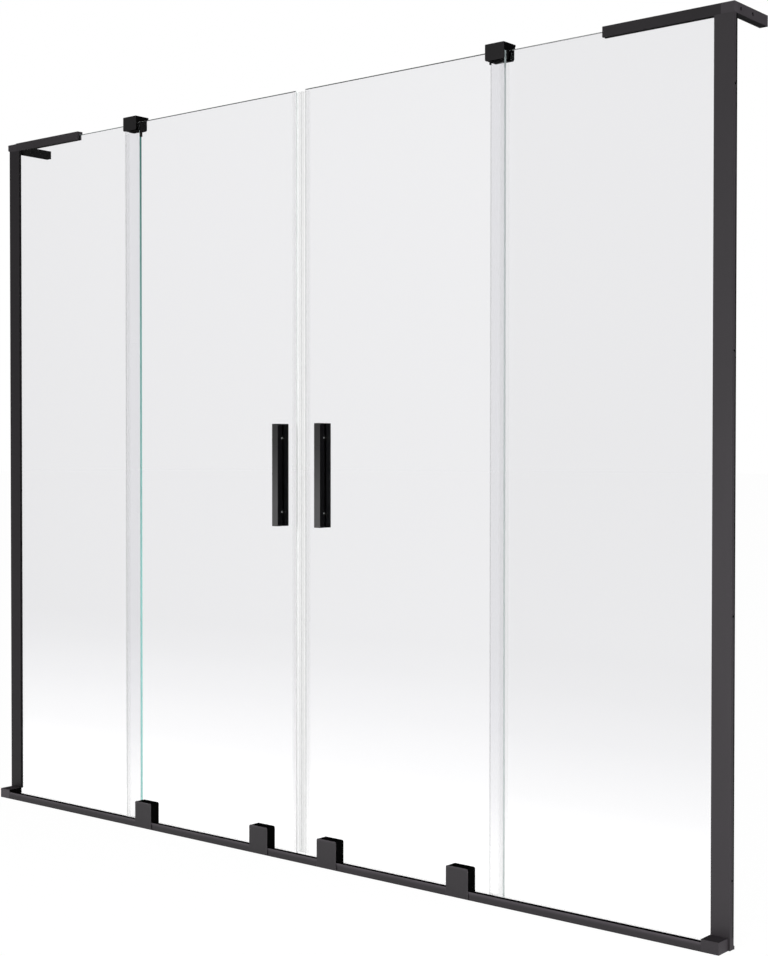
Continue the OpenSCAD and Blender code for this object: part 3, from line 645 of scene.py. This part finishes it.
def number_math(tree, operation, first, second=0):
    """One step of arithmetic on sockets or numbers."""
    step = tree.nodes.new("ShaderNodeMath")
    step.operation = operation
    feed(tree, first, step.inputs[0])
    feed(tree, second, step.inputs[1])
    return step.outputs[0]


def toward(tree, direction, target):
    """How far a direction points towards a target, from -1 to 1."""
    unit = tree.nodes.new("ShaderNodeVectorMath")
    unit.operation = "NORMALIZE"
    tree.links.new(direction, unit.inputs[0])
    agreement = tree.nodes.new("ShaderNodeVectorMath")
    agreement.operation = "DOT_PRODUCT"
    agreement.inputs[1].default_value = target
    tree.links.new(unit.outputs["Vector"], agreement.inputs[0])
    return agreement.outputs["Value"]


def studio_level(tree, direction):
    """Brightness of the studio: bright in front, less so beyond the right end, dark behind."""
    front_way, front_peak = (0.6, -0.8, 0), 1.21
    right_way, right_peak = (0.5, 0.866, 0), 0.15
    front = level(tree, toward(tree, direction, front_way), 0, front_peak, -1, 0.6)
    right = level(tree, toward(tree, direction, right_way), 0, right_peak, 0.75, 1)
    return number_math(tree, "ADD", number_math(tree, "POWER", front, 3), right)


def blended(tree, factor, first, second):
    """Number between two numbers or sockets."""
    mix = tree.nodes.new("ShaderNodeMix")
    tree.links.new(factor, mix.inputs["Factor"])
    feed(tree, first, mix.inputs[2])
    feed(tree, second, mix.inputs[3])
    return mix.outputs[0]


def as_seen(tree, straight, through, mirrored):
    """Levels for the camera, for straight sight through glass, and for all other rays. Panes
    mirror little."""
    path = tree.nodes.new("ShaderNodeLightPath")
    rest = number_math(tree, "MULTIPLY", mirrored, level(tree, path.outputs["Is Singular Ray"], 1, 0.25))
    turns = number_math(tree, "ADD", path.outputs["Diffuse Depth"], path.outputs["Glossy Depth"])
    unturned = number_math(tree, "LESS_THAN", turns, 0.5)
    sight = number_math(tree, "MULTIPLY", path.outputs["Is Transmission Ray"], unturned)
    other = blended(tree, sight, rest, through)
    return blended(tree, path.outputs["Is Camera Ray"], other, straight)


floor_reach = 60
mesh = bpy.data.meshes.new("floor")
bm = bmesh.new()
bmesh.ops.create_grid(bm, x_segments=1, y_segments=1, size=floor_reach)
bm.to_mesh(mesh)
bm.free()
floor = bpy.data.objects.new("floor", mesh)
bpy.context.scene.collection.objects.link(floor)
white = bpy.data.materials.new("floor_white")
tree, shader = shader_of(white)
shader.inputs["Base Color"].default_value = (0.1, 0.1, 0.1, 1)
shader.inputs["Roughness"].default_value = 1
shader.inputs["Specular IOR Level"].default_value = 0
place = tree.nodes.new("ShaderNodeTexCoord")
depth = object_axis(tree, "Y")
distance = tree.nodes.new("ShaderNodeVectorMath")
distance.operation = "LENGTH"
tree.links.new(place.outputs["Object"], distance.inputs[0])
near_end, far_end = 1, 4
away = level(tree, distance.outputs["Value"], 0, 1, near_end, far_end)
close_by = level(tree, depth, 0.85, 0.3, -0.05, 0.05)
mirrored = blended(tree, away, close_by, studio_level(tree, place.outputs["Object"]))
path = tree.nodes.new("ShaderNodeLightPath")
mirrored = number_math(tree, "MULTIPLY", mirrored, path.outputs["Is Glossy Ray"])
off = level(tree, number_math(tree, "ABSOLUTE", depth), 0, 1, 0, 3)
fade = ramp(tree, off, [(0.1, (1, 1, 1)), (0.27, (0.55, 0.55, 0.55)), (0.5, (0.27, 0.27, 0.27)),
                        (0.75, (0.08, 0.08, 0.08)), (1, (0, 0, 0))])
through = level(tree, fade, 0.9, 1.2)
shader.inputs["Emission Color"].default_value = (1, 1, 1, 1)
tree.links.new(as_seen(tree, 0.97, through, mirrored), shader.inputs["Emission Strength"])
mesh.materials.append(white)

# Studio light
# A surround that shows as plain white and dims upward in what is mirrored and lit, and a large
# soft box in front that gives the light a direction.

world = bpy.data.worlds.new("studio")
bpy.context.scene.world = world
world.use_nodes = True
tree = world.node_tree
surround = tree.nodes["Background"]
surround.inputs["Color"].default_value = (1, 1, 1, 1)
direction = tree.nodes.new("ShaderNodeTexCoord").outputs["Generated"]
split = tree.nodes.new("ShaderNodeSeparateXYZ")
tree.links.new(direction, split.inputs["Vector"])
upward = level(tree, split.outputs["Z"], 1, 0.2, 0, 0.32)
lit = number_math(tree, "MULTIPLY", studio_level(tree, direction), upward)
through = level(tree, split.outputs["Z"], 0.92, 0.95, 0, 0.2)
tree.links.new(as_seen(tree, 1, through, lit), surround.inputs["Strength"])


def soft_box(name, place, target, width, height, power):
    """Large lamp that lights the object and isn't mirrored in it."""
    lamp = bpy.data.lights.new(name, "AREA")
    lamp.shape = "RECTANGLE"
    lamp.size = width
    lamp.size_y = height
    lamp.energy = power
    box = bpy.data.objects.new(name, lamp)
    bpy.context.scene.collection.objects.link(box)
    box.location = place
    box.rotation_euler = (Vector(target) - Vector(place)).to_track_quat("-Z", "Y").to_euler()
    box.visible_camera = False
    box.visible_glossy = False
    box.visible_transmission = False


soft_box("front_box", (1.8, -3.4, 0.9), (0, 0, 0.7), 2.4, 1.6, 60)
soft_box("right_box", (9, 1, 0.8), (0, 0, 0.75), 3, 3, 600)

# Camera
# Worked out from straight edges of the photograph, which is cropped, so the lens's axis lies off
# the middle of the picture.

camera_data = bpy.data.cameras.new("camera")
camera = bpy.data.objects.new("camera", camera_data)
bpy.context.scene.collection.objects.link(camera)
yaw = -0.709973
pitch = -0.016791
focal_px = 1606.13
width_px = 768
height_px = 956
centre_px = (326.80, 481.68)
camera.location = (2.06875, -2.30895, 0.78686)
sight = Vector((math.sin(yaw) * math.cos(pitch), math.cos(yaw) * math.cos(pitch), math.sin(pitch)))
camera.rotation_euler = sight.to_track_quat("-Z", "Y").to_euler()
camera_data.sensor_width = 36
camera_data.lens = focal_px / height_px * camera_data.sensor_width
camera_data.shift_x = (width_px / 2 - centre_px[0]) / height_px
camera_data.shift_y = (centre_px[1] - height_px / 2) / height_px
camera_data.clip_end = 200
bpy.context.scene.camera = camera
bpy.context.scene.view_settings.view_transform = "Standard"
